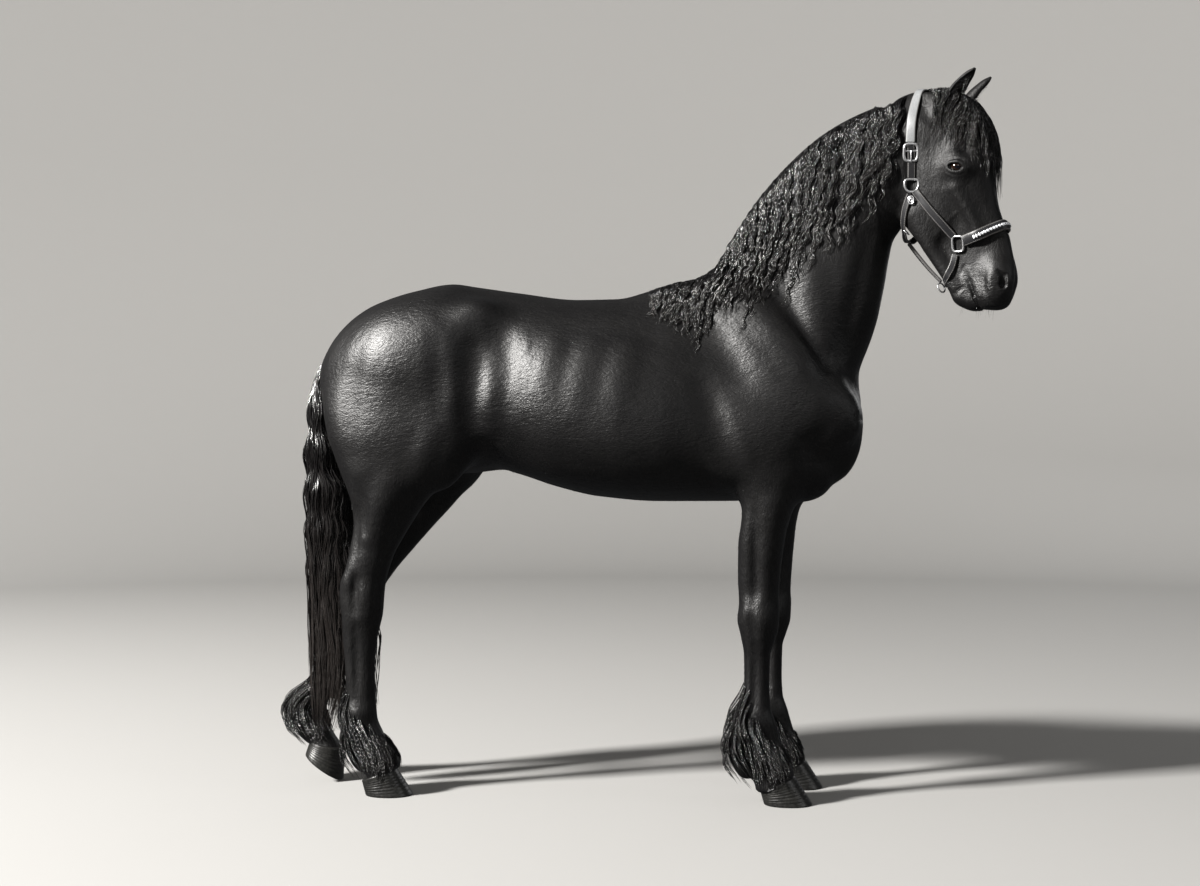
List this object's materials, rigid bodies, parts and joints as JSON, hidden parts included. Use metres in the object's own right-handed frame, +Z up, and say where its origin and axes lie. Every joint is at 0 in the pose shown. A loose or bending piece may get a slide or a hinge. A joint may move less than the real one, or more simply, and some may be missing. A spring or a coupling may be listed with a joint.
{
  "type": "horse figure",
  "caption": "Life-size standing figure of a black Friesian horse with long mane, full tail and feathered legs, wearing a leather headcollar.",
  "frame": {"origin": "on the floor under the middle of the model's box, where the hooves stand", "axes": "+X along the body towards the head, +Y to the horse's left, +Z up"},
  "size_m": [2.3461, 0.6639, 2.2441],
  "materials": {
    "coat": "short glossy near-black hair",
    "horn": "dull dark grey horn",
    "eye": "wet dark brown",
    "leather": "smooth black leather",
    "metal": "polished"
  },
  "bodies": {
    "root": {"torso": "coat", "neck": "coat", "head": "coat", "foreleg_right": "coat", "foreleg_left": "coat", "hindleg_right": "coat", "hindleg_left": "coat", "tail": "coat", "ear_right": "coat", "ear_left": "coat", "eye_right": "eye", "eye_left": "eye", "fore_hoof_right": "horn", "fore_hoof_left": "horn", "hind_hoof_right": "horn", "hind_hoof_left": "horn", "crown_strap": "leather", "noseband": "leather", "throat_strap": "leather", "chin_strap": "leather", "jaw_strap": "leather", "temple_strap_right": "leather", "temple_strap_left": "leather", "cheek_strap_right": "leather", "cheek_strap_left": "leather", "chin_ring": "metal", "buckle_right": "metal", "buckle_left": "metal", "upper_ring_right": "metal", "upper_ring_left": "metal", "lower_ring_right": "metal", "lower_ring_left": "metal"}
  },
  "joints": []
}
